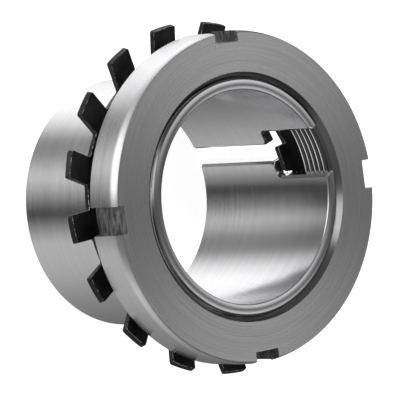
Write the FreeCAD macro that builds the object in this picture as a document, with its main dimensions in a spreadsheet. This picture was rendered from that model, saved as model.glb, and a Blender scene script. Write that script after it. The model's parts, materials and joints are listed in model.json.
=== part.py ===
import FreeCAD, Part
import math
import os
import re
import Sketcher

# Bearing adapter sleeve: a tapered split sleeve with a threaded end, a slotted lock nut
# on that thread, and a tabbed lock washer that hangs loose between the two.
# The sleeve stands on its large end. The origin is the centre of that end face, +Z runs
# up to the nut, and +X points through the middle of the slit.

# Driving sizes, in millimetres and degrees: name, value, and what it is.
SIZES = [
    ("bore_diameter", "45", "shaft bore of the sleeve"),
    ("sleeve_length", "42", "length of the sleeve from end to end"),
    ("taper_ratio", "12", "length in which the cone loses one unit of diameter"),
    ("cone_step", "0.39", "how far the cone's small end stands proud of the thread"),
    ("thread_wall", "2.5", "wall from the bore to the outside of the thread"),
    ("thread_chamfer", "0.6", "lead-in of the thread at the front end"),
    ("bore_front_chamfer", "0.3", "chamfer of the bore at the front end"),
    ("bore_back_chamfer", "0.8", "chamfer of the bore at the large end"),
    ("large_end_chamfer", "0.4", "chamfer of the cone at the large end"),
    ("slit_width", "3.8", "slit that lets the sleeve close on the shaft"),
    ("window_width", "10.4", "window in the thread that takes the inner tab"),
    ("window_corner", "0.8", "corner radius of the window away from the key"),
    ("window_key_corner", "1.3", "corner radius of the window beside the key"),
    ("nut_diameter", "70", "outside of the nut"),
    ("nut_width", "11", "nut from face to face"),
    ("nut_overhang", "0.25", "how far the nut stands past the sleeve's front end"),
    ("nut_thread_play", "0.08", "radial play between nut and thread"),
    ("nut_bevel", "1.1", "bevel of the nut's thread at both faces"),
    ("nut_rear_angle", "30", "slope of the cone behind the nut's rim"),
    ("nut_edge_drop", "0.5", "how far the rounded front edge falls inwards"),
    ("nut_edge_height", "2", "how far down the rim the rounded front edge starts"),
    ("nut_slot_count", "4", "spanner slots"),
    ("nut_slot_width", "6", "width of a spanner slot"),
    ("nut_slot_depth", "2.5", "depth of a spanner slot"),
    ("nut_turned", "-17.1", "where the first spanner slot points"),
    ("washer_diameter", "61", "flat body of the washer and flat rear face of the nut"),
    ("washer_reach", "74.8", "across the tips of the outer tabs"),
    ("washer_thickness", "1.25", "sheet of the washer"),
    ("washer_play", "0.3", "radial play between washer and thread"),
    ("washer_lean", "4.7", "how far the loose washer leans over its inner tab"),
    ("washer_nut_gap", "0.4", "gap left between the raised side of the washer and the nut"),
    ("washer_cone_gap", "0.3", "gap left between the low side of the washer and the cone"),
    ("tab_count", "17", "outer tabs"),
    ("tab_width", "6", "width of an outer tab"),
    ("tab_bend", "22", "how far the outer tabs are bent towards the nut"),
    ("tab_bend_radius", "1", "inner radius of that bend"),
    ("inner_tab_width", "6", "width of the inner tab"),
    ("inner_tab_recess", "0.3", "how far the inner tab stays back from the shaft"),
    ("inner_tab_gap", "0.15", "gap left between the inner tab and the window's end"),
    ("inner_tab_side_gap", "0.26", "gap left between the inner tab and the window's side"),
]

# Sizes that follow from the driving ones, each spelled with their names.
DERIVED = {
    "bore_radius": "bore_diameter / 2",
    "thread_radius": "bore_radius + thread_wall",
    "cone_slope": "1 / (2 * taper_ratio)",
    "nut_radius": "nut_diameter / 2",
    "nut_bore_radius": "thread_radius + nut_thread_play",
    "nut_rear_radius": "washer_diameter / 2",
    "nut_rear_height": "sleeve_length + nut_overhang - nut_width",
    "nut_cone_height": "(nut_radius - nut_rear_radius) * tan(nut_rear_angle)",
    "nut_edge_radius": "(nut_edge_drop ^ 2 + nut_edge_height ^ 2) / (2 * nut_edge_drop)",
    "washer_radius": "washer_diameter / 2",
    "washer_bore_radius": "thread_radius + washer_play",
    "washer_height": "nut_rear_height - washer_nut_gap - washer_radius * sin(washer_lean)"
                     " - washer_thickness * cos(washer_lean)",
    "tip_radius": "washer_reach / 2",
    "tab_pitch": "360 / tab_count",
    "tab_root": "sqrt(washer_radius ^ 2 - (tab_width / 2) ^ 2)",
    "tab_cut": "tip_radius + washer_thickness",
    "bend_outer_radius": "tab_bend_radius + washer_thickness",
    "bend_end": "washer_radius + bend_outer_radius * sin(tab_bend)",
    "bend_end_height": "bend_outer_radius * (1 - cos(tab_bend))",
    "tip_height": "bend_end_height + (tip_radius - bend_end) * tan(tab_bend)",
    "inner_tab_tip": "bore_radius + inner_tab_recess",
    "washer_turned": "asin(inner_tab_width / (2 * thread_radius))"
                     " - asin((window_width / 2 - inner_tab_side_gap) / thread_radius)",
    "window_end": "washer_height - inner_tab_width / 2 * sin(washer_lean) - inner_tab_gap",
    "thread_end": "washer_height - washer_bore_radius * sin(washer_lean) - washer_cone_gap",
    "cone_end": "thread_end - cone_step",
    "cone_end_radius": "thread_radius + cone_step",
    "large_end_radius": "cone_end_radius + cone_end * cone_slope",
}

DRIVING = {name for name, number, meaning in SIZES}


def formula(text):
    """The text with each derived name spelled out and each driving name read from the sheet."""
    def spell(match):
        word = match.group(0)
        if word in DERIVED:
            return "(" + formula(DERIVED[word]) + ")"
        return "<<sizes>>." + word if word in DRIVING else word
    return re.sub(r"[a-z]+(?:_[a-z]+)*", spell, text)


def make_sheet(document):
    """One row for each driving size: its name, its value and what it is."""
    sheet = document.addObject("Spreadsheet::Sheet", "sizes")
    for row, (name, number, meaning) in enumerate(SIZES, start=1):
        sheet.set(f"A{row}", name)
        sheet.set(f"B{row}", number)
        sheet.set(f"C{row}", meaning)
        sheet.setAlias(f"B{row}", name)
    document.recompute()
    return sheet


def origin_part(body, role):
    """The plane or axis of the body's own origin that has this role."""
    return next(item for item in body.Origin.OriginFeatures if item.Role == role)


def arc_between(start, end, radius, side):
    """Arc shorter than half a circle; side is 1 where its centre lies left of the way, else -1."""
    chord = end - start
    left = FreeCAD.Vector(-chord.y, chord.x, 0).normalize()
    offset = math.sqrt(radius ** 2 - (chord.Length / 2) ** 2)
    centre = (start + end) * 0.5 + left * (offset * side)
    first, last = (start, end) if side > 0 else (end, start)
    angles = [math.atan2(point.y - centre.y, point.x - centre.x) for point in (first, last)]
    if angles[1] < angles[0]:
        angles[1] += 2 * math.pi
    circle = Part.Circle(centre, FreeCAD.Vector(0, 0, 1), radius)
    return Part.ArcOfCircle(circle, *angles)


def outline(body, name, plane, corners, arcs=None):
    """A closed sketch through the corners, each held by its two formulas.

    arcs gives, for the side that starts at a corner, its radius and its centre's side.
    """
    sketch = body.newObject("Sketcher::SketchObject", name)
    sketch.AttachmentSupport = (origin_part(body, plane), [""])
    sketch.MapMode = "FlatFace"
    arcs = arcs or {}

    def number(text):
        return float(sketch.evalExpression(formula(text)))

    def hold(constraint, text):
        index = sketch.addConstraint(constraint)
        sketch.setExpression(f"Constraints[{index}]", formula(text))

    points = [FreeCAD.Vector(number(across), number(up), 0) for across, up in corners]
    ends = []
    for index, start in enumerate(points):
        finish = points[(index + 1) % len(points)]
        if index in arcs:
            radius, side = arcs[index]
            sketch.addGeometry(arc_between(start, finish, number(radius), side))
            ends.append((1, 2) if side > 0 else (2, 1))
        else:
            sketch.addGeometry(Part.LineSegment(start, finish))
            ends.append((1, 2))
    for index, (across, up) in enumerate(corners):
        first = ends[index][0]
        before = (index - 1) % len(points)
        sketch.addConstraint(
            Sketcher.Constraint("Coincident", before, ends[before][1], index, first))
        for kind, text, axis, place in (("DistanceX", across, -2, points[index].x),
                                        ("DistanceY", up, -1, points[index].y)):
            if text == "0":
                sketch.addConstraint(Sketcher.Constraint("PointOnObject", index, first, axis))
            else:
                hold(Sketcher.Constraint(kind, -1, 1, index, first, place), text)
    for index, (radius, side) in arcs.items():
        hold(Sketcher.Constraint("Radius", index, number(radius)), radius)
    return sketch


def revolve(body, name, sketch):
    """Turn a sketch of the XZ plane right round the body's axis."""
    feature = body.newObject("PartDesign::Revolution", name)
    feature.Profile = sketch
    feature.ReferenceAxis = (sketch, ["V_Axis"])
    feature.Angle = 360
    sketch.Visibility = False
    return feature


def cut_through(body, name, sketch):
    """Cut all that lies on the side of the sketch that its normal points to."""
    feature = body.newObject("PartDesign::Pocket", name)
    feature.Profile = sketch
    feature.Type = "ThroughAll"
    feature.Reversed = True
    sketch.Visibility = False
    return feature


def repeat_round(body, name, feature, count):
    """Repeat a feature evenly round the body's axis."""
    pattern = body.newObject("PartDesign::PolarPattern", name)
    pattern.Originals = [feature]
    pattern.Axis = (origin_part(body, "Z_Axis"), [""])
    pattern.Angle = 360
    pattern.setExpression("Occurrences", formula(count))
    body.Tip = pattern
    return pattern


def place(body, height, turned, leaning="0"):
    """Put the body at its height, leaned over its own X axis and then turned about Z."""
    where = f"create(<<vector>>; 0; 0; {height})"
    turn = f"create(<<rotation>>; {turned}; 0; -({leaning}))"
    body.setExpression("Placement", formula(f"create(<<placement>>; {where}; {turn})"))


def make_sleeve(document):
    """The sleeve: a turned wall with a cone and a thread zone, split on one side."""
    body = document.addObject("PartDesign::Body", "sleeve")
    turned = outline(body, "sleeve_section", "XZ_Plane", [
        ("bore_radius + bore_back_chamfer", "0"),
        ("large_end_radius - large_end_chamfer", "0"),
        ("large_end_radius - large_end_chamfer * cone_slope", "large_end_chamfer"),
        ("cone_end_radius", "cone_end"),
        ("thread_radius", "thread_end"),
        ("thread_radius", "sleeve_length - thread_chamfer"),
        ("thread_radius - thread_chamfer", "sleeve_length"),
        ("bore_radius + bore_front_chamfer", "sleeve_length"),
        ("bore_radius", "sleeve_length - bore_front_chamfer"),
        ("bore_radius", "bore_back_chamfer"),
    ])
    revolve(body, "sleeve_wall", turned)
    half_slit = "slit_width / 2"
    half_window = "window_width / 2"
    split = outline(body, "split_outline", "YZ_Plane", [
        (half_slit, "0"),
        (half_slit, "window_end"),
        (f"{half_window} - window_corner", "window_end"),
        (half_window, "window_end + window_corner"),
        (half_window, "sleeve_length"),
        (f"-{half_window}", "sleeve_length"),
        (f"-{half_window}", "window_end + window_key_corner"),
        (f"window_key_corner - {half_window}", "window_end"),
        (f"-{half_slit}", "window_end"),
        (f"-{half_slit}", "0"),
    ], {2: ("window_corner", 1), 6: ("window_key_corner", 1)})
    body.Tip = cut_through(body, "slit_and_window", split)
    return body


def make_lock_nut(document):
    """The nut: a turned ring with a rounded front edge, a sloped back and spanner slots."""
    body = document.addObject("PartDesign::Body", "lock_nut")
    turned = outline(body, "nut_section", "XZ_Plane", [
        ("nut_bore_radius + nut_bevel", "0"),
        ("nut_rear_radius", "0"),
        ("nut_radius", "nut_cone_height"),
        ("nut_radius", "nut_width - nut_edge_height"),
        ("nut_radius - nut_edge_drop", "nut_width"),
        ("nut_bore_radius + nut_bevel", "nut_width"),
        ("nut_bore_radius", "nut_width - nut_bevel"),
        ("nut_bore_radius", "nut_bevel"),
    ], {3: ("nut_edge_radius", 1)})
    revolve(body, "nut_ring", turned)
    floor = "nut_radius - nut_slot_depth"
    outside = "nut_radius + nut_slot_depth"
    half_slot = "nut_slot_width / 2"
    slot = outline(body, "slot_outline", "XY_Plane", [
        (floor, f"-{half_slot}"),
        (outside, f"-{half_slot}"),
        (outside, half_slot),
        (floor, half_slot),
    ])
    cut = cut_through(body, "spanner_slot", slot)
    repeat_round(body, "spanner_slots", cut, "nut_slot_count")
    place(body, "nut_rear_height", "nut_turned")
    return body


def make_lock_washer(document):
    """The washer: a sheet ring whose bent rim is cut into tabs, with one tab inwards."""
    body = document.addObject("PartDesign::Body", "lock_washer")
    bent = outline(body, "washer_section", "XZ_Plane", [
        ("washer_bore_radius", "0"),
        ("washer_radius", "0"),
        ("bend_end", "bend_end_height"),
        ("tip_radius", "tip_height"),
        ("tip_radius - washer_thickness * sin(tab_bend)",
         "tip_height + washer_thickness * cos(tab_bend)"),
        ("washer_radius + tab_bend_radius * sin(tab_bend)",
         "washer_thickness + tab_bend_radius * (1 - cos(tab_bend))"),
        ("washer_radius", "washer_thickness"),
        ("washer_bore_radius", "washer_thickness"),
    ], {1: ("bend_outer_radius", 1), 5: ("tab_bend_radius", -1)})
    revolve(body, "bent_ring", bent)
    half_tab = "tab_width / 2"
    gap = outline(body, "gap_outline", "XY_Plane", [
        ("tab_root", half_tab),
        ("tab_cut", half_tab),
        (f"tab_cut * cos(tab_pitch) + {half_tab} * sin(tab_pitch)",
         f"tab_cut * sin(tab_pitch) - {half_tab} * cos(tab_pitch)"),
        (f"tab_root * cos(tab_pitch) + {half_tab} * sin(tab_pitch)",
         f"tab_root * sin(tab_pitch) - {half_tab} * cos(tab_pitch)"),
    ], {3: ("washer_radius", -1)})
    cut = cut_through(body, "tab_gap", gap)
    repeat_round(body, "tab_gaps", cut, "tab_count")
    half_key = "inner_tab_width / 2"
    root = f"sqrt(washer_bore_radius ^ 2 - ({half_key}) ^ 2) + washer_play"
    key = outline(body, "inner_tab_outline", "XY_Plane", [
        ("inner_tab_tip", f"-{half_key}"),
        (root, f"-{half_key}"),
        (root, half_key),
        ("inner_tab_tip", half_key),
    ])
    tab = body.newObject("PartDesign::Pad", "inner_tab")
    tab.Profile = key
    tab.setExpression("Length", formula("washer_thickness"))
    key.Visibility = False
    body.Tip = tab
    place(body, "washer_height", "washer_turned", "washer_lean")
    return body


def check(document, pieces):
    """Stop where an object failed, or where a piece is not one valid solid."""
    for item in document.Objects:
        if {"Invalid", "Error"} & set(item.State):
            raise RuntimeError(f"{item.Label} failed: {item.State}")
        if item.TypeId == "Sketcher::SketchObject" and not item.FullyConstrained:
            raise RuntimeError(f"{item.Label} is not held by its sizes")
    for piece in pieces:
        shape = piece.Shape
        if shape.isNull() or not shape.isValid() or len(shape.Solids) != 1:
            raise RuntimeError(f"{piece.Label} is not one valid solid")


def main():
    document = FreeCAD.newDocument("adapter_sleeve")
    make_sheet(document)
    pieces = [make_sleeve(document), make_lock_washer(document), make_lock_nut(document)]
    document.recompute()
    check(document, pieces)
    os.makedirs("parts", exist_ok=True)
    for piece in pieces:
        piece.Shape.exportStep(f"parts/{piece.Label}.step")
        print(piece.Label, round(piece.Shape.Volume, 2), "mm3", piece.Shape.BoundBox)


main()
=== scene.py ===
import json
import math

import bmesh
import bpy
import numpy as np
from mathutils import Matrix, Vector


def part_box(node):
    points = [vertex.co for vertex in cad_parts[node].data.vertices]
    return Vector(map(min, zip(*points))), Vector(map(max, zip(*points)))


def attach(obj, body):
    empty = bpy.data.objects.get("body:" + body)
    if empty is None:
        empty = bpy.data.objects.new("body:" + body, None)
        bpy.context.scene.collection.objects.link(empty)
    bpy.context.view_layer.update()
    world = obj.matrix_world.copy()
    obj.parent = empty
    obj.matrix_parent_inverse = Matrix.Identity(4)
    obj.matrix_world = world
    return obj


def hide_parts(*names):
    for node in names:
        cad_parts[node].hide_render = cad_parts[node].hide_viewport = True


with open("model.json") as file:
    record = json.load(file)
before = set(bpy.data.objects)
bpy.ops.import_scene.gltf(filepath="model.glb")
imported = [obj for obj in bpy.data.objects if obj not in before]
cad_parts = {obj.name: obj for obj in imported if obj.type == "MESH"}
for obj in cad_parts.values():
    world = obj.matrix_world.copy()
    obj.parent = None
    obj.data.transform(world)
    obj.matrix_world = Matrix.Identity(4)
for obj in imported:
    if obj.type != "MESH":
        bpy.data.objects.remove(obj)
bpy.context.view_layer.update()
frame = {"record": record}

MM = 0.001
TURN = 2 * math.pi
MERGE_DISTANCE = 0.002 * MM
NEARLY = 0.01 * MM       # how far past a surface the middle of one of its faces may lie

# What the frame says: heights and reach of the three pieces, in metres.
SLEEVE_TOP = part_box("sleeve")[1][2]
NUT_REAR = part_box("lock_nut")[0][2]
NUT_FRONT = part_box("lock_nut")[1][2]
NUT_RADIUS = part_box("lock_nut")[1][0]
LEAD = frame["record"]["behaviour"]["couplings"][0]["ratio"] * TURN
BORE_RADIUS = frame["record"]["mounts"][0]["dims"]["r_mm"] * MM

# Sleeve.
THREAD_RADIUS = 25 * MM
THREAD_CHAMFER = 0.6 * MM
BORE_FRONT_CHAMFER = 0.3 * MM
BORE_BACK_CHAMFER = 0.8 * MM
LARGE_END_CHAMFER = 0.4 * MM
CONE_STEP = 0.39 * MM
CONE_SLOPE = 1 / 24
THREAD_END = 24.732 * MM
CONE_END = THREAD_END - CONE_STEP
LARGE_END_RADIUS = THREAD_RADIUS + CONE_STEP + CONE_END * CONE_SLOPE
HALF_SLIT = 1.9 * MM
HALF_WINDOW = 5.2 * MM
WINDOW_END = 25.4 * MM
WINDOW_CORNER = 1.5 * MM
WINDOW_KEY_CORNER = 2.0 * MM
SLIT_FLARE = 1.1 * MM
OUTER_EDGE = 0.1 * MM
BORE_EDGE = 0.5 * MM
LEDGE_EDGE = 0.12 * MM
CROWN = 0.15 * MM

# Columns of the sleeve's loops: those near the opening slide with its edge, the others stay.
NEAR_OPENING = math.radians(16)
NEAR_SHARES = np.linspace(0, 1, 6)[None, :-1]
FAR_ANGLES = np.linspace(NEAR_OPENING, TURN - NEAR_OPENING, 330)
SIDE_SHARES = np.linspace(0, 1, 5)

# Thread: the crest's flat is a share of the lead, and rows lie at shares of it from each crest.
THREAD_DEPTH = 0.92 * MM
THREAD_RUN_OUT = 0.3 * MM
THREAD_PHASE = 1.02 * MM
FLANK_SLOPE = math.tan(math.radians(60))
CREST_FLAT = 1 / 8
THREAD_SHARES = (-0.417, -0.24, -0.0625, 0, 0.0625, 0.24, 0.417)

# Lock nut, measured from its rear face.
NUT_WIDTH = NUT_FRONT - NUT_REAR
NUT_THREAD_PLAY = 0.08 * MM
NUT_ROOT_RADIUS = THREAD_RADIUS + NUT_THREAD_PLAY
NUT_CREST_RADIUS = 24.34 * MM
NUT_FLANK_PLAY = 0.03 * MM
NUT_BEVEL = 1.1 * MM
NUT_REAR_RADIUS = 30.5 * MM
NUT_REAR_SLOPE = math.tan(math.radians(30))
NUT_CONE_HEIGHT = (NUT_RADIUS - NUT_REAR_RADIUS) * NUT_REAR_SLOPE
NUT_EDGE_DROP = 0.5 * MM
NUT_EDGE_HEIGHT = 2 * MM
NUT_EDGE_RADIUS = (NUT_EDGE_DROP ** 2 + NUT_EDGE_HEIGHT ** 2) / (2 * NUT_EDGE_DROP)
SLOT_COUNT = 4
HALF_SLOT = 3 * MM
SLOT_FLOOR = NUT_RADIUS - 2.5 * MM
SLOT_EDGE = 0.12 * MM
RIM_EDGE_SHARE = 0.3
NUT_TURNED = math.radians(-17.1)

# Columns of the nut: across a slot's floor, along an arc of the rim, and how far those of a
# slot's walls spread at the bore, as a multiple of the slot's own half angle there.
FLOOR_COLUMNS = 9
ARC_COLUMNS = 74
WALL_SPREAD = 1.25

# Lock washer, flat on its own rear face before it is leaned and turned.
WASHER_BORE = 25.3 * MM
WASHER_BODY = 30.5 * MM
WASHER_REACH = 37.4 * MM
WASHER_SHEET = 1.25 * MM
WASHER_LEAN = math.radians(4.7)
WASHER_TURNED = math.radians(-4.505)
WASHER_GAP = 0.4 * MM
WASHER_HEIGHT = (NUT_REAR - WASHER_GAP - WASHER_BODY * math.sin(WASHER_LEAN)
                 - WASHER_SHEET * math.cos(WASHER_LEAN))
TAB_COUNT = 17
HALF_TAB = 3 * MM
TAB_BEND = math.radians(22)
BEND_RADIUS = 1 * MM + WASHER_SHEET
TAB_ROOT_FILLET = 0.5 * MM
TAB_CORNER = 0.4 * MM
SHEET_EDGE = 0.14 * MM
KEY_TIP = BORE_RADIUS + 0.3 * MM
KEY_CORNERS = (1.5 * MM, 0.4 * MM)

# Camera: a long lens that looks at the nut's face from 39 degrees off the axis, rolled so that
# the axis lies level in the picture.
CAMERA_TARGET = Vector((2.324, -1.323, 23.144)) * MM
CAMERA_DISTANCE = 1.13997
CAMERA_AZIMUTH = math.radians(156.273)
CAMERA_ELEVATION = math.radians(51.137)
CAMERA_ROLL = math.radians(87.727)
CAMERA_LENS = 483.96


# Meshes from grids

def piece_from_grids(name, grids, sharp_degrees=30):
    """One mesh from grids of points, each of rows by columns by 3.

    Neighbours in a grid make a four-cornered face, points of the grids that coincide are merged,
    faces with no area go, and edges that turn more than sharp_degrees are creased.
    """
    points, faces, first = [], [], 0
    for grid in grids:
        rows, columns = grid.shape[:2]
        index = first + np.arange(rows * columns).reshape(rows, columns)
        quads = np.stack([index[:-1, :-1], index[:-1, 1:], index[1:, 1:], index[1:, :-1]], -1)
        points.append(grid.reshape(-1, 3))
        faces.append(quads.reshape(-1, 4))
        first += rows * columns
    mesh = bpy.data.meshes.new(name)
    mesh.from_pydata(np.concatenate(points).tolist(), [], np.concatenate(faces).tolist())
    work = bmesh.new()
    work.from_mesh(mesh)
    bmesh.ops.remove_doubles(work, verts=work.verts, dist=MERGE_DISTANCE)
    bmesh.ops.dissolve_degenerate(work, edges=work.edges, dist=MERGE_DISTANCE)
    bmesh.ops.recalc_face_normals(work, faces=work.faces)
    limit = math.radians(sharp_degrees)
    for face in work.faces:
        face.smooth = True
    for edge in work.edges:
        edge.smooth = len(edge.link_faces) == 2 and edge.calc_face_angle(0) < limit
    work.to_mesh(mesh)
    work.free()
    piece = bpy.data.objects.new(name, mesh)
    bpy.context.scene.collection.objects.link(piece)
    return piece


def ring_points(radius, angle, height):
    """Points at a radius, an angle about Z and a height, each an array or a number."""
    radius, angle, height = np.broadcast_arrays(radius, angle, height)
    return np.stack([radius * np.cos(angle), radius * np.sin(angle), height], -1)


# Thread

def crest_distance(height, angle):
    """Distance along Z from the nearest crest of the right-hand thread, whose crests climb one
    lead in each turn: height - lead x angle / turn, wrapped to half a lead either way."""
    share = (height - THREAD_PHASE) / LEAD - angle / TURN
    return np.abs(share - np.round(share)) * LEAD


def outer_thread(height, angle):
    """Radius of the sleeve's thread: the crest radius, less what the 60 degree flank falls past
    the crest's flat, down to the thread's depth, which runs out under the lead-in."""
    fall = (crest_distance(height, angle) - CREST_FLAT / 2 * LEAD) * FLANK_SLOPE
    below = (SLEEVE_TOP - THREAD_CHAMFER - height) / THREAD_RUN_OUT
    return THREAD_RADIUS - np.clip(fall, 0, THREAD_DEPTH * np.clip(below, 0, 1))


def inner_thread(height, angle):
    """Radius of the nut's thread: its root clears the sleeve's crest, and its flanks close in
    beside the sleeve's with a little play, up to the nut's own crest."""
    past = crest_distance(height, angle) - CREST_FLAT / 2 * LEAD - NUT_FLANK_PLAY
    return NUT_ROOT_RADIUS - np.clip(past * FLANK_SLOPE, 0, NUT_ROOT_RADIUS - NUT_CREST_RADIUS)


def helical_heights(low, high, angle):
    """Rows that climb one lead in each turn and are held between low and high.

    Rows lie at the thread's own shares of a lead, so that crests and roots fall on rows.
    """
    turns = np.arange(math.floor((low - THREAD_PHASE) / LEAD) - 2,
                      math.ceil((high - THREAD_PHASE) / LEAD) + 2)
    shares = (turns[:, None] + np.array(THREAD_SHARES)).ravel()
    rows = THREAD_PHASE + LEAD * (shares[:, None] + angle[None, :] / TURN)
    rows = np.clip(rows, low, high)
    return rows[np.ptp(rows, axis=1) + (rows[:, 0] - low) + (high - rows[:, -1]) > 0]


# Sleeve

def window_half_width(height):
    """Half the window's width on its two sides, the far one first: full above the corner, and
    in the corner drawn in along a quarter circle."""
    sides = []
    for corner in (WINDOW_CORNER, WINDOW_KEY_CORNER):
        below = np.clip(1 - (height - WINDOW_END) / corner, 0, 1)
        sides.append(HALF_WINDOW - corner * (1 - np.sqrt(1 - below ** 2)))
    return np.stack(sides, -1)


def sleeve_loops(outer_radius, outer_height, inner_radius, inner_height, wall_height, opening):
    """Closed loops of the split wall, one for each row.

    Each loop runs round the outside from one side of the opening to the other, in along the flat
    wall of the opening, back round the bore and out along the other wall. Columns near the
    opening slide with its width, the others stay at their angle. The wall's corners are cut, a
    little outside and more at the bore, where the edge has been broken. On a wall, a row goes
    from the outside's height to the wall's own by the square of the way in, so that its outer
    part keeps the thread's profile.
    """
    room = (outer_radius[:, 0] - inner_radius[:, 0]) / 2
    outer_cut, inner_cut = np.minimum(OUTER_EDGE, room), np.minimum(BORE_EDGE, room)

    def around(radius, cut):
        edge = np.arcsin((opening + cut[:, None]) / radius[:, :1])
        low = edge[:, :1] + (NEAR_OPENING - edge[:, :1]) * NEAR_SHARES
        high = edge[:, 1:] + (NEAR_OPENING - edge[:, 1:]) * NEAR_SHARES
        far = np.repeat(FAR_ANGLES[None, :], len(radius), 0)
        return np.concatenate([low, far, TURN - high[:, ::-1]], 1)

    def wall(side, column):
        start = outer_radius[:, column] - outer_cut
        end = inner_radius[:, 0] + inner_cut
        radius = start[:, None] + (end - start)[:, None] * SIDE_SHARES
        across = np.repeat(opening[:, side:side + 1], len(SIDE_SHARES), 1)
        first = outer_height[:, column]
        height = first[:, None] + (wall_height - first)[:, None] * SIDE_SHARES ** 2
        depth = np.sqrt(radius ** 2 - across ** 2)
        return np.stack([depth, across * (1 - 2 * side), height], -1)

    outside = ring_points(outer_radius, around(outer_radius, outer_cut), outer_height)
    inside = ring_points(inner_radius, around(inner_radius, inner_cut), inner_height)
    loops = np.concatenate([outside, wall(1, -1), inside[:, ::-1], wall(0, 0)[:, ::-1]], 1)
    return np.concatenate([loops, loops[:, :1]], 1)


def make_sleeve():
    """The split sleeve: loops up the cone, helical loops through the thread, a face at each end.

    The outside is the cone's radius, which falls one part in 24 of the height, then the thread,
    cut back by its lead-in; the bore is plain with a chamfer at each end. The front face is
    crowned: it falls by the square of the distance from its middle. The front face and the
    thread's lead-in have materials of their own; the lead-in's is the darkened bevel steel,
    painted shade in the groove beside the nut.
    """
    columns = len(FAR_ANGLES) + 2 * NEAR_SHARES.size
    shoulder = SLEEVE_TOP - CROWN

    def bore(height):
        front = np.clip(height - (SLEEVE_TOP - BORE_FRONT_CHAMFER), 0, None)
        back = np.clip(BORE_BACK_CHAMFER - height, 0, None)
        return BORE_RADIUS + front + back

    def spread(values):
        return np.repeat(np.asarray(values, float)[:, None], columns, 1)

    def plain(outer, inner, height, half):
        opening = np.full((len(height), 2), half)
        return sleeve_loops(spread(outer), spread(height), spread(inner), spread(height),
                            np.asarray(height, float), opening)

    def slit(height):
        near = np.clip(1 - (WINDOW_END - height) / SLIT_FLARE, 0, 1)
        flare = SLIT_FLARE * (1 - np.sqrt(1 - near ** 2))
        return np.stack([HALF_SLIT + flare] * 2, -1)

    def threaded(low, high, half, opening, inner_low, inner_knee, inner_high, rows_above):
        """Helical loops between two heights. In the bore they run from inner_low to inner_knee,
        and on to inner_high in the rows above the knee. The wall's heights set its opening."""
        edge = math.asin(half / THREAD_RADIUS)
        near = edge + (NEAR_OPENING - edge) * NEAR_SHARES[0]
        angle = np.concatenate([near, FAR_ANGLES, TURN - near[::-1]])
        height = helical_heights(low, high, angle)
        lead_in = THREAD_RADIUS - THREAD_CHAMFER + (SLEEVE_TOP - height)
        radius = np.minimum(outer_thread(height, angle[None, :]), lead_in)
        last = len(height) - 1
        inner = np.interp(np.arange(last + 1), [0, last - rows_above, last],
                          [inner_low, inner_knee, inner_high])
        wall = np.maximum(inner, low)
        wall[0], wall[-1] = low, high
        return sleeve_loops(radius, height, spread(bore(inner)), spread(inner), wall,
                            opening(wall))

    end_outer = LARGE_END_RADIUS - LARGE_END_CHAMFER
    end_inner = BORE_RADIUS + BORE_BACK_CHAMFER
    middle = (end_outer + end_inner) / 2
    shares = np.array([0, 0.9, 1])
    foot = plain(middle + (end_outer - middle) * shares, middle + (end_inner - middle) * shares,
                 [0, 0, 0], HALF_SLIT)

    cone_height = np.array([LARGE_END_CHAMFER, LARGE_END_CHAMFER + 0.1 * MM, BORE_BACK_CHAMFER,
                            BORE_BACK_CHAMFER + 0.1 * MM, CONE_END / 2, CONE_END])
    cone = plain(LARGE_END_RADIUS - CONE_SLOPE * cone_height, bore(cone_height), cone_height,
                 HALF_SLIT)
    ledge = WINDOW_END - LEDGE_EDGE
    slit_part = threaded(THREAD_END, WINDOW_END, HALF_SLIT, slit, THREAD_END, ledge, ledge, 0)
    knee = SLEEVE_TOP - BORE_FRONT_CHAMFER
    window_part = threaded(WINDOW_END, shoulder, HALF_WINDOW, window_half_width, ledge, knee,
                           shoulder, 1)

    share = np.array([0.05, 0.15, 0.3, 0.5, 0.75, 1])
    rim_outer = THREAD_RADIUS - THREAD_CHAMFER + CROWN
    rim_inner = BORE_RADIUS + BORE_FRONT_CHAMFER - CROWN
    top = (rim_outer + rim_inner) / 2
    face = plain(rim_outer + (top - rim_outer) * share, rim_inner + (top - rim_inner) * share,
                 SLEEVE_TOP - CROWN * (1 - share) ** 2, HALF_WINDOW)
    sleeve = piece_from_grids("adapter_sleeve",
                              [np.concatenate([foot, cone, slit_part, window_part, face])])
    ground, lead_in, front = range(3)
    # The lead-in gets the darkened bevel steel: painted shade in the groove beside the nut.
    for face in sleeve.data.polygons:
        reach = math.hypot(face.center.x, face.center.y)
        below = SLEEVE_TOP - face.center.z
        face.material_index = ground
        if below < CROWN + NEARLY:
            face.material_index = front
        elif below < THREAD_CHAMFER and reach > THREAD_RADIUS - THREAD_CHAMFER:
            face.material_index = lead_in
    return sleeve


# Lock nut

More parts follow.
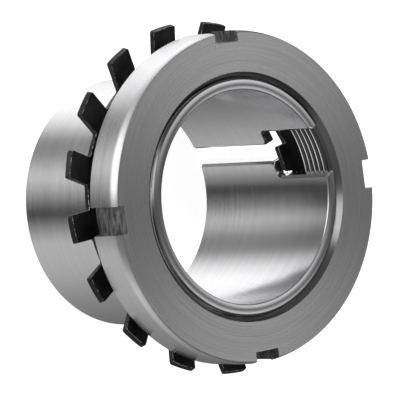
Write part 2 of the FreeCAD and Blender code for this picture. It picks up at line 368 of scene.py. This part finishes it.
def nut_outline():
    """The nut seen from the front: points, outward normals, and an angle for the thread.

    Arcs of the rim join four slots, each two flat walls and a flat floor. The angle is where
    each point's column reaches the bore: columns of a wall stay beside the slot, those of its
    floor fill the way between, and those of an arc spread evenly over the rest.
    """
    corner = math.asin(HALF_SLOT / NUT_RADIUS)
    rim_depth = math.sqrt(NUT_RADIUS ** 2 - HALF_SLOT ** 2)
    wall = np.array([0, 0.04, 0.1, 0.35, 0.7, 1])[:, None]
    floor = np.linspace(-1, 1, FLOOR_COLUMNS)[1:-1, None]
    lower = np.array([[rim_depth, -HALF_SLOT]])
    lower_foot = np.array([[SLOT_FLOOR, -HALF_SLOT]])
    mirror = np.array([1, -1])
    down = lower + (lower_foot - lower) * wall
    along = np.concatenate([np.full_like(floor, SLOT_FLOOR), floor * HALF_SLOT], 1)
    up = (down * mirror)[::-1]
    slot = np.concatenate([down, along, up])
    slot_normal = np.concatenate([np.repeat([[0, 1]], len(down), 0),
                                  np.repeat([[1, 0]], len(along), 0),
                                  np.repeat([[0, -1]], len(up), 0)]).astype(float)
    quarter = TURN / SLOT_COUNT
    arc_angle = np.linspace(corner, quarter - corner, ARC_COLUMNS)[1:-1]
    arc = np.stack([np.cos(arc_angle), np.sin(arc_angle)], -1)
    points = np.concatenate([slot, arc * NUT_RADIUS])
    normals = np.concatenate([slot_normal, arc])
    foot = math.asin((HALF_SLOT + SLOT_EDGE) / (NUT_ROOT_RADIUS + NUT_BEVEL))
    beside = -foot * (WALL_SPREAD - (WALL_SPREAD - 1) * wall[:, 0])
    slot_angle = np.concatenate([beside, foot * floor[:, 0], -beside[::-1]])
    share = (arc_angle - corner) / (quarter - 2 * corner)
    spread = WALL_SPREAD * foot + (quarter - 2 * WALL_SPREAD * foot) * share
    thread_angle = np.concatenate([slot_angle, spread])
    turned_points, turned_normals, angles = [], [], []
    for turn in NUT_TURNED + quarter * np.arange(SLOT_COUNT):
        spin = np.array([[math.cos(turn), math.sin(turn)], [-math.sin(turn), math.cos(turn)]])
        turned_points.append(points @ spin)
        turned_normals.append(normals @ spin)
        angles.append(thread_angle + turn)
    points, normals, angles = (np.concatenate(part) for part in
                               (turned_points, turned_normals, angles))
    close = slice(0, 1)
    return (np.concatenate([points, points[close]]), np.concatenate([normals, normals[close]]),
            np.concatenate([angles, angles[close] + TURN]))


def make_lock_nut():
    """The nut: its outline held inside a turned section, then its face, bevels and thread.

    A row of the rim is the outline, drawn in by a small edge at the face and then held within
    the section's radius at that height: a cone at the back, a cylinder, then an arc that falls by
    the edge's drop over its height. The thread's rows are helical, and both bevels are 45 degree
    cones that the thread runs out into. The slots, the bevels, and the thread's flanks and crests
    have materials of their own: the bevels and flanks are the steel darkened, painted shade, and
    the crests the steel lightened, a painted highlight.
    """
    outline, normal, angle = nut_outline()
    edge_start = NUT_WIDTH - NUT_EDGE_HEIGHT

    def rim_row(height, most, drawn_in=0.0):
        points = outline - normal * drawn_in
        reach = np.linalg.norm(points, axis=1)
        points = points * np.minimum(1, most / reach)[:, None]
        return np.concatenate([points, np.full((len(points), 1), NUT_REAR + height)], 1)

    def circle_row(height, radius):
        return ring_points(radius, angle, np.full_like(angle, NUT_REAR + height))

    def edge_reach(height):
        fall = NUT_EDGE_RADIUS - math.sqrt(NUT_EDGE_RADIUS ** 2 - (height - edge_start) ** 2)
        return NUT_RADIUS - fall

    rows = [circle_row(0, NUT_ROOT_RADIUS + NUT_BEVEL), rim_row(0, NUT_REAR_RADIUS)]
    floor_height = (SLOT_FLOOR - NUT_REAR_RADIUS) * NUT_REAR_SLOPE
    for height in (floor_height / 2, floor_height, (floor_height + NUT_CONE_HEIGHT) / 2,
                   NUT_CONE_HEIGHT):
        rows.append(rim_row(height, NUT_REAR_RADIUS + height / NUT_REAR_SLOPE))
    rows.append(rim_row((NUT_CONE_HEIGHT + edge_start) / 2, NUT_RADIUS))
    for height in edge_start + NUT_EDGE_HEIGHT * np.array([0, 0.2, 0.4, 0.6, 0.75, 0.88]):
        rows.append(rim_row(height, edge_reach(height)))
    for share in (0, 0.3, 0.6, 0.8, 1):
        fall = SLOT_EDGE * (1 - math.sqrt(1 - share ** 2))
        height = NUT_WIDTH - SLOT_EDGE * (1 - share)
        rows.append(rim_row(height, edge_reach(height) - fall * RIM_EDGE_SHARE, fall))
    face_inner = circle_row(NUT_WIDTH, NUT_ROOT_RADIUS + NUT_BEVEL)
    face_outer = rows[-1]
    for share in (0.012, 0.04, 0.34, 0.67, 0.97, 1):
        rows.append(face_outer + (face_inner - face_outer) * share)
    shell = np.stack(rows)

    height = helical_heights(0, NUT_WIDTH, angle)[::-1]
    bevel = np.minimum(height, NUT_WIDTH - height)
    radius = np.maximum(inner_thread(height + NUT_REAR, angle[None, :]),
                        NUT_ROOT_RADIUS + NUT_BEVEL - bevel)
    thread = ring_points(radius, angle[None, :], height + NUT_REAR)
    nut = piece_from_grids("slotted_lock_nut", [shell, thread])
    turned, milled, bevelled, flank, crest = range(5)
    for face in nut.data.polygons:
        reach = math.hypot(face.center.x, face.center.y)
        radial = face.normal.to_2d().dot(face.center.to_2d()) / reach
        depth = min(face.center.z - NUT_REAR, NUT_FRONT - face.center.z)
        upright = abs(face.normal.z) < 0.4
        of_slot = abs(radial) < 0.5 or reach < SLOT_FLOOR + 0.2 * MM
        face.material_index = turned
        # Crests get the painted highlight; bevels and flanks get the painted shade.
        if reach < NUT_CREST_RADIUS + 2 * NEARLY:
            face.material_index = crest
        elif reach < NUT_ROOT_RADIUS + NUT_BEVEL:
            face.material_index = bevelled if depth < NUT_BEVEL else flank
        elif upright and of_slot and reach > SLOT_FLOOR - 1.5 * SLOT_EDGE:
            face.material_index = milled
        face.use_smooth = abs(face.normal.z) < 0.9999
    return nut


# Lock washer

def washer_height(reach):
    """Height of the sheet's rear side: flat on the body, then an arc, then a straight slope."""
    arc_reach = np.clip(reach - WASHER_BODY, 0, BEND_RADIUS * math.sin(TAB_BEND))
    arc = BEND_RADIUS - np.sqrt(BEND_RADIUS ** 2 - arc_reach ** 2)
    slope = np.clip(reach - WASHER_BODY - arc_reach, 0, None) * math.tan(TAB_BEND)
    return arc + slope


def make_lock_washer():
    """The washer: a ring with 17 bent tabs and one flat tab inwards, as one sheet.

    The ring is a grid between its bore and its rim. Each tab is a grid along and across, whose
    half width swells by a quarter circle at the root and shrinks by one at the tip. Solidify
    gives the sheet its thickness and Bevel breaks its edges.
    """
    pitch = TURN / TAB_COUNT
    across = np.linspace(-1, 1, 9)
    root_half = HALF_TAB + TAB_ROOT_FILLET
    root_angle = np.arcsin(across * root_half / WASHER_BODY)
    gap_angle = np.linspace(root_angle[-1], pitch + root_angle[0], 8)[1:-1]
    one_tab = np.concatenate([root_angle, gap_angle])
    rim_angle = (np.arange(TAB_COUNT)[:, None] * pitch + one_tab[None, :]).ravel()
    rim_angle = np.append(rim_angle, rim_angle[0] + TURN)
    key_angle = np.arcsin(across * HALF_TAB / WASHER_BORE)
    bore_angle = rim_angle.copy()
    bore_angle[:len(across)] = key_angle
    bore_angle[-1] = key_angle[0] + TURN
    share = np.linspace(0, 1, 6)[:, None, None]
    bore = ring_points(WASHER_BORE, bore_angle, 0.0)
    rim = ring_points(WASHER_BODY, rim_angle, 0.0)
    grids = [bore + (rim - bore) * share]

    bend_end = BEND_RADIUS * math.sin(TAB_BEND)
    length = WASHER_REACH - WASHER_BODY
    along = np.concatenate([
        np.array([0, 0.15, 0.35, 0.6, 0.8, 1]) * bend_end,
        np.linspace(bend_end, length - TAB_CORNER, 5)[1:],
        length - TAB_CORNER * np.array([0.7, 0.4, 0.15, 0]),
    ])
    root = np.clip(1 - along / TAB_ROOT_FILLET, 0, 1)
    tip = np.clip((along - length + TAB_CORNER) / TAB_CORNER, 0, 1)
    half = (HALF_TAB + TAB_ROOT_FILLET * (1 - np.sqrt(1 - root ** 2))
            - TAB_CORNER * (1 - np.sqrt(1 - tip ** 2)))
    side = half[:, None] * across[None, :]
    start = np.sqrt(WASHER_BODY ** 2 - side ** 2)
    end = np.sqrt(WASHER_REACH ** 2 - side ** 2)
    depth = start + (end - start) * (along / length)[:, None]
    reach = np.hypot(depth, side)
    for tab in range(TAB_COUNT):
        turn = tab * pitch
        grids.append(np.stack([depth * math.cos(turn) - side * math.sin(turn),
                               depth * math.sin(turn) + side * math.cos(turn),
                               washer_height(reach)], -1))

    key_depth = KEY_TIP + KEY_CORNERS[0] * np.array([2, 1, 0.75, 0.5, 0.3, 0.15, 0.05, 0])[:, None]
    corner = np.where(across < 0, *KEY_CORNERS)[None, :]
    tip = np.clip(1 - (key_depth - KEY_TIP) / corner, 0, 1)
    key_side = across[None, :] * (HALF_TAB - corner * (1 - np.sqrt(1 - tip ** 2)))
    key_depth = np.repeat(key_depth, len(across), 1)
    key_depth[0] = np.sqrt(WASHER_BORE ** 2 - key_side[0] ** 2)
    grids.append(np.stack([key_depth, key_side, np.zeros_like(key_side)], -1))

    washer = piece_from_grids("tabbed_lock_washer", grids, sharp_degrees=35)
    mesh = washer.data
    facing_up = sum(face.normal.z * face.area for face in mesh.polygons) > 0
    if not facing_up:
        mesh.flip_normals()
    place = (Matrix.Translation((0, 0, WASHER_HEIGHT)) @ Matrix.Rotation(WASHER_TURNED, 4, "Z")
             @ Matrix.Rotation(-WASHER_LEAN, 4, "X"))
    mesh.transform(place)
    _, sheared, worn = range(3)
    thick = washer.modifiers.new("sheet", "SOLIDIFY")
    thick.thickness = WASHER_SHEET
    thick.offset = 1
    thick.use_even_offset = True
    thick.material_offset_rim = sheared
    broken = washer.modifiers.new("broken_edges", "BEVEL")
    broken.width = SHEET_EDGE
    broken.segments = 2
    broken.limit_method = "ANGLE"
    broken.angle_limit = math.radians(40)
    broken.material = worn
    return washer


# Materials

class Nodes:
    """A new material's node tree, or an emptied one, with short ways to add and join nodes."""

    def __init__(self, name="", tree=None):
        self.tree = tree
        if tree:
            tree.nodes.clear()
            return
        self.material = bpy.data.materials.new(name)
        self.material.use_nodes = True
        self.tree = self.material.node_tree
        self.shader = self.tree.nodes["Principled BSDF"]

    def fill(self, node, inputs):
        """Set inputs by name or number: a socket is joined, any other value is written in."""
        for key, value in inputs.items():
            if isinstance(value, bpy.types.NodeSocket):
                self.tree.links.new(value, node.inputs[key])
            else:
                node.inputs[key].default_value = value

    def add(self, kind, inputs=None, **settings):
        node = self.tree.nodes.new(kind)
        for key, value in settings.items():
            setattr(node, key, value)
        self.fill(node, inputs or {})
        return node

    def place(self):
        return self.add("ShaderNodeTexCoord").outputs["Object"]

    def math(self, operation, *values):
        return self.add("ShaderNodeMath", dict(enumerate(values)), operation=operation).outputs[0]

    def band(self, value, low, high, to_low=0.0, to_high=1.0):
        node = self.add("ShaderNodeMapRange", {"Value": value, "From Min": low, "From Max": high,
                                               "To Min": to_low, "To Max": to_high})
        return node.outputs["Result"]

    def noise(self, place, scale, detail, roughness=0.5):
        node = self.add("ShaderNodeTexNoise", {"Vector": place, "Scale": scale, "Detail": detail,
                                               "Roughness": roughness})
        return node.outputs["Fac"]

    def blend(self, share, first, second):
        """Two colours mixed; 6, 7 and output 2 are the mix node's sockets for colours."""
        node = self.add("ShaderNodeMix", {0: share, 6: (*first, 1), 7: (*second, 1)},
                        data_type="RGBA")
        return node.outputs[2]

    def mix(self, share, first, second):
        """Two tones mixed; 2, 3 and output 0 are the mix node's sockets for numbers."""
        node = self.add("ShaderNodeMix", {0: share, 2: first, 3: second}, data_type="FLOAT")
        return node.outputs[0]

    def bump(self, strength, depth, height):
        node = self.add("ShaderNodeBump", {"Strength": strength, "Distance": depth,
                                           "Height": height})
        return node.outputs[0]


def turned_lines(nodes, fine, slow):
    """Noise that is fine across the tool marks and slow along them.

    It reads (slow x, slow y, fine (radius + height)), so its lines run round the axis on faces,
    cones and cylinders alike.
    """
    parts = nodes.add("ShaderNodeSeparateXYZ", {0: nodes.place()})
    x, y, z = parts.outputs
    radius = nodes.math("SQRT", nodes.math("ADD", nodes.math("MULTIPLY", x, x),
                                           nodes.math("MULTIPLY", y, y)))
    lines = nodes.math("MULTIPLY", nodes.math("ADD", radius, z), fine)
    vector = nodes.add("ShaderNodeCombineXYZ", {0: nodes.math("MULTIPLY", x, slow),
                                                1: nodes.math("MULTIPLY", y, slow), 2: lines})
    return nodes.noise(vector.outputs[0], 1.0, 3.0, 0.6), x, y


def turned_steel(name, colour, roughness, anisotropy, line_depth):
    """Bright lathe-turned steel: reflections drawn out across fine circular tool marks.

    The tangent is (-y, x, 0) in the piece's own coordinates, turned to world space, and the
    anisotropy is turned a quarter so that the gloss spreads across the marks.
    """
    nodes = Nodes(name)
    fine, x, y = turned_lines(nodes, 9000, 60)
    broad, _, _ = turned_lines(nodes, 1400, 25)
    minus_y = nodes.math("MULTIPLY", y, -1.0)
    round_axis = nodes.add("ShaderNodeCombineXYZ", {0: minus_y, 1: x, 2: 0.0})
    tangent = nodes.add("ShaderNodeVectorTransform", {0: round_axis.outputs[0]},
                        vector_type="VECTOR", convert_from="OBJECT", convert_to="WORLD")
    unit = nodes.add("ShaderNodeVectorMath", {0: tangent.outputs[0]}, operation="NORMALIZE")
    dark = tuple(c * 0.93 for c in colour)
    nodes.fill(nodes.shader, {
        "Tangent": unit.outputs[0],
        "Base Color": nodes.blend(nodes.band(broad, 0.3, 0.7), dark, colour),
        "Roughness": nodes.band(fine, 0.25, 0.75, roughness * 0.8, roughness * 1.25),
        "Metallic": 1.0,
        "Anisotropic": anisotropy,
        "Anisotropic Rotation": 0.25,
        "Normal": nodes.bump(0.35, line_depth, fine),
    })
    return nodes.material


def milled_steel(name):
    """The milled slots: dull grey, with dark streaks where the cutter crossed the rim.

    The streaks are noise that is fine along Z and slow across it.
    """
    nodes = Nodes(name)
    stretched = nodes.add("ShaderNodeVectorMath", {0: nodes.place(), 1: (350.0, 350.0, 1200.0)},
                          operation="MULTIPLY")
    streaks = nodes.noise(stretched.outputs[0], 1.0, 4.0, 0.7)
    nodes.fill(nodes.shader, {
        "Base Color": nodes.blend(nodes.band(streaks, 0.35, 0.68), (0.1,) * 3, (0.5,) * 3),
        "Metallic": 1.0,
        "Roughness": 0.42,
        "Normal": nodes.bump(0.5, 0.02 * MM, streaks),
    })
    return nodes.material


def black_oxide(name):
    """Black oxide on sheet steel: near black and half glossy, with faint cloudy patches."""
    nodes = Nodes(name)
    place = nodes.place()
    cloud = nodes.noise(place, 350.0, 4.0)
    grain = nodes.noise(place, 4000.0, 2.0)
    nodes.fill(nodes.shader, {
        "Base Color": nodes.blend(nodes.band(cloud, 0.4, 0.7), (0.006, 0.006, 0.007),
                                  (0.016, 0.016, 0.017)),
        "Roughness": nodes.band(cloud, 0.3, 0.7, 0.32, 0.5),
        "Specular IOR Level": 0.25,
        "Normal": nodes.bump(0.2, 0.01 * MM, grain),
    })
    return nodes.material


def worn_black(name, wear, bright):
    """Black oxide rubbed through in spots to grey steel: wear is the share that shows steel."""
    nodes = Nodes(name)
    spots = nodes.noise(nodes.place(), 900.0, 4.0, 0.65)
    bare = nodes.band(spots, 0.62 - wear * 0.3, 0.7 - wear * 0.3)
    nodes.fill(nodes.shader, {
        "Base Color": nodes.blend(bare, (0.012, 0.012, 0.013), (bright,) * 3),
        "Metallic": bare,
        "Roughness": 0.4,
        "Specular IOR Level": 0.25,
    })
    return nodes.material


# Studio

def make_camera():
    """A camera on a sphere round its target, rolled about its line of sight."""
    flat = math.cos(CAMERA_ELEVATION)
    away = Vector((flat * math.cos(CAMERA_AZIMUTH), flat * math.sin(CAMERA_AZIMUTH),
                   math.sin(CAMERA_ELEVATION)))
    level = (-away).cross(Vector((0, 0, 1))).normalized()
    upright = level.cross(-away)
    up = upright * math.cos(CAMERA_ROLL) - level * math.sin(CAMERA_ROLL)
    right = up.cross(away)
    place = Matrix((right, up, away)).transposed().to_4x4()
    place.translation = CAMERA_TARGET + away * CAMERA_DISTANCE
    data = bpy.data.cameras.new("camera")
    data.lens = CAMERA_LENS
    data.sensor_width = 36
    data.clip_start = 0.01
    data.clip_end = 20
    camera = bpy.data.objects.new("camera", data)
    camera.matrix_world = place
    bpy.context.scene.collection.objects.link(camera)
    bpy.context.scene.camera = camera
    return right, up


def seen_directly(nodes):
    """One for rays that show the background: straight from the camera, off gloss or through."""
    path = nodes.add("ShaderNodeLightPath").outputs
    shown = nodes.math("MAXIMUM", path["Is Camera Ray"], path["Is Glossy Ray"])
    return nodes.math("MAXIMUM", shown, path["Is Transmission Ray"])


def make_floor():
    """A plain pale floor that reads white and still takes the part's shadow."""
    half = 3.0
    mesh = bpy.data.meshes.new("studio_floor")
    corners = [(-half, -half, 0), (half, -half, 0), (half, half, 0), (-half, half, 0)]
    mesh.from_pydata(corners, [], [(0, 1, 2, 3)])
    floor = bpy.data.objects.new("studio_floor", mesh)
    bpy.context.scene.collection.objects.link(floor)
    nodes = Nodes("pale_floor")
    nodes.fill(nodes.shader, {
        "Base Color": (0.5, 0.5, 0.5, 1),
        "Roughness": 0.9,
        "Specular IOR Level": 0.0,
        "Emission Color": (1, 1, 1, 1),
        "Emission Strength": nodes.math("MULTIPLY", seen_directly(nodes), 0.85),
    })
    mesh.materials.append(nodes.material)
    floor.visible_glossy = False


# The studio round the part, as the turned steel mirrors it: how bright it is by the angle about
# Z from the camera's side, in degrees, growing towards the bottom of the picture. Upright walls
# mirror the low ring, the nut's rounded edge the middle one, and the bevels the high one and a
# small bright card. Each stop is the edge or the middle of a pale or a dark cloth.
LOW_RING = (
    (-180, 0.3), (-155, 1.2), (-100, 1.7), (-80, 1.2), (-60, 0.25), (-45, 0.2), (-25, 0.55),
    (-10, 0.1), (10, 0.05), (35, 0.8), (60, 0.6), (100, 0.35), (165, 0.15),
)
MIDDLE_RING = (
    (-180, 0.05), (-140, 0.1), (-115, 2), (-90, 1.8), (-60, 0.8), (-45, 1.2), (-30, 2.4),
    (-10, 2.4), (5, 0.2), (30, 0.3), (55, 1), (100, 0.5), (140, 0.15), (165, 0.05),
)
HIGH_RING = (
    (-180, 0.05), (-130, 0.05), (-105, 0.2), (-60, 0.25), (-20, 0.45), (20, 0.25), (60, 0.4),
    (80, 0.1), (170, 0.05),
)

# Where each part of the studio begins and where it is full. For the rings it is the height of a
# direction, for the high one less a share of how far it points to the camera's side; for the
# panel and the card it is the cosine of the angle from their middle.
MIDDLE_REACH = (-0.7, -0.6)
HIGH_REACH = (-0.4, -0.1)
HIGH_LEAN = 0.3
PANEL_REACH = (0.72, 0.94)
CARD_REACH = (0.94, 0.985)

# The panel's two ends, by how far a direction points up the picture: from, to, and both tones.
PANEL_TOP = (0.0, 0.4, 0.15, 1.7)
PANEL_BOTTOM = (-0.45, -0.1, 1.75, 0.15)

# The card's turn about Z from the camera's side, its height above the level, and its tone.
CARD_TURN = math.radians(22)
CARD_HEIGHT = math.radians(37.6)
CARD_TONE = 3.2

# What the camera sees behind the part, and what every dull surface is lit by.
BACKGROUND_TONE = 1.0
DULL_TONE = 0.55


def make_world(up):
    """A studio tent: plain white to the camera, and to gloss a room of pale and dark cloths.

    Directions see the low, the middle or the high ring by their angle about Z and by their
    height, less a share of how far they point to the camera's side. Directions near the mirror
    image of the camera's own see one wide soft panel, brighter towards its ends. One small
    bright card stands where the bevels catch it.
    """
    world = bpy.data.worlds.new("studio")
    bpy.context.scene.world = world
    world.use_nodes = True
    nodes = Nodes(tree=world.node_tree)
    direction = nodes.add("ShaderNodeTexCoord").outputs["Generated"]
    side = Vector((math.cos(CAMERA_AZIMUTH), math.sin(CAMERA_AZIMUTH), 0))
    top = side.cross(Vector((0, 0, 1)))
    top *= math.copysign(1, top.dot(up))
    slant = Vector((0, 0, math.sin(CAMERA_ELEVATION))) - side * math.cos(CAMERA_ELEVATION)

    def along(axis):
        node = nodes.add("ShaderNodeVectorMath", {0: direction, 1: tuple(axis)},
                         operation="DOT_PRODUCT")
        return node.outputs["Value"]

    rise = along(top)
    angle = nodes.math("ARCTAN2", nodes.math("MULTIPLY", rise, -1.0), along(side))
    share = nodes.band(angle, -math.pi, math.pi)

    def ring(tones):
        node = nodes.add("ShaderNodeValToRGB", {0: share})
        stops = node.color_ramp.elements
        while len(stops) < len(tones):
            stops.new(0.5)
        for stop, (degrees, tone) in zip(stops, tones):
            stop.position = (degrees + 180) / 360
            stop.color = (tone, tone, tone, 1)
        return node.outputs["Color"]

    height = along((0, 0, 1))
    level = along(Vector((0, 0, 1)) - side * HIGH_LEAN)
    card = (side * math.cos(CARD_TURN) + top * math.sin(CARD_TURN)) * math.cos(CARD_HEIGHT)
    card.z = math.sin(CARD_HEIGHT)
    panel = nodes.math("MAXIMUM", nodes.band(rise, *PANEL_TOP), nodes.band(rise, *PANEL_BOTTOM))
    room = nodes.mix(nodes.band(height, *MIDDLE_REACH), ring(LOW_RING), ring(MIDDLE_RING))
    room = nodes.mix(nodes.band(level, *HIGH_REACH), room, ring(HIGH_RING))
    room = nodes.mix(nodes.band(along(card), *CARD_REACH), room, CARD_TONE)
    room = nodes.mix(nodes.band(along(slant), *PANEL_REACH), room, panel)
    path = nodes.add("ShaderNodeLightPath").outputs
    plain = nodes.mix(path["Is Camera Ray"], DULL_TONE, BACKGROUND_TONE)
    strength = nodes.mix(path["Is Glossy Ray"], plain, room)
    light = nodes.add("ShaderNodeBackground", {"Color": (1, 1, 1, 1), "Strength": strength})
    nodes.add("ShaderNodeOutputWorld", {"Surface": light.outputs[0]})


def make_softbox(name, place, size, power):
    """A square soft light that faces the part."""
    data = bpy.data.lights.new(name, "AREA")
    data.size = size
    data.energy = power
    light = bpy.data.objects.new(name, data)
    light.location = place
    light.rotation_euler = place.to_track_quat("Z", "Y").to_euler()
    light.visible_glossy = False
    bpy.context.scene.collection.objects.link(light)


def finish_piece(piece, node, body, materials):
    """Stand a piece in for its CAD node, on that node's body, with its materials."""
    for material in materials:
        piece.data.materials.append(material)
    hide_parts(node)
    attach(piece, body)


bpy.context.scene.view_settings.view_transform = "Standard"
right, up = make_camera()
make_floor()
make_world(up)
make_softbox("key_light", up * 0.7 + Vector((0, 0, 0.75)), size=0.6, power=9)
make_softbox("fill_light", right * 0.5 - up * 0.4 + Vector((0, 0, 0.9)), size=0.6, power=4)

# Turned steels: colour, roughness, anisotropy and the depth of their lines.
ground = turned_steel("ground_steel", (0.62, 0.62, 0.63), 0.2, 0.7, 0.007 * MM)
turned = turned_steel("turned_nut_steel", (0.6, 0.6, 0.61), 0.24, 0.75, 0.009 * MM)
# The nut's thread flanks: the steel darkened to 0.15, painted shade for the recess inside the nut.
thread_painted_shade = turned_steel("thread_painted_shade", (0.15, 0.15, 0.15), 0.24, 0.75, 0.01 * MM)
# The nut's bevels and the sleeve's lead-in: the steel darkened to 0.22, painted shade in the
# grooves where nut and sleeve meet.
bevel_painted_shade = turned_steel("bevel_painted_shade", (0.22, 0.22, 0.22), 0.24, 0.75, 0.01 * MM)
sleeve_front = turned_steel("sleeve_front_steel", (0.45, 0.45, 0.46), 0.2, 0.7, 0.007 * MM)
# The nut's thread crests: the steel lightened to 0.92, a painted highlight.
crest_painted_highlight = turned_steel("thread_crest_painted_highlight", (0.92, 0.92, 0.92), 0.2, 0.7, 0.007 * MM)
finish_piece(make_sleeve(), "sleeve", "sleeve_body",
             [ground, bevel_painted_shade, sleeve_front])
finish_piece(make_lock_nut(), "lock_nut", "nut_body",
             [turned, milled_steel("milled_slot"), bevel_painted_shade, thread_painted_shade, crest_painted_highlight])
finish_piece(make_lock_washer(), "lock_washer", "washer_body",
             [black_oxide("black_oxide"), worn_black("sheared_edge", 0.1, 0.04),
              worn_black("worn_corner", 0.5, 0.6)])
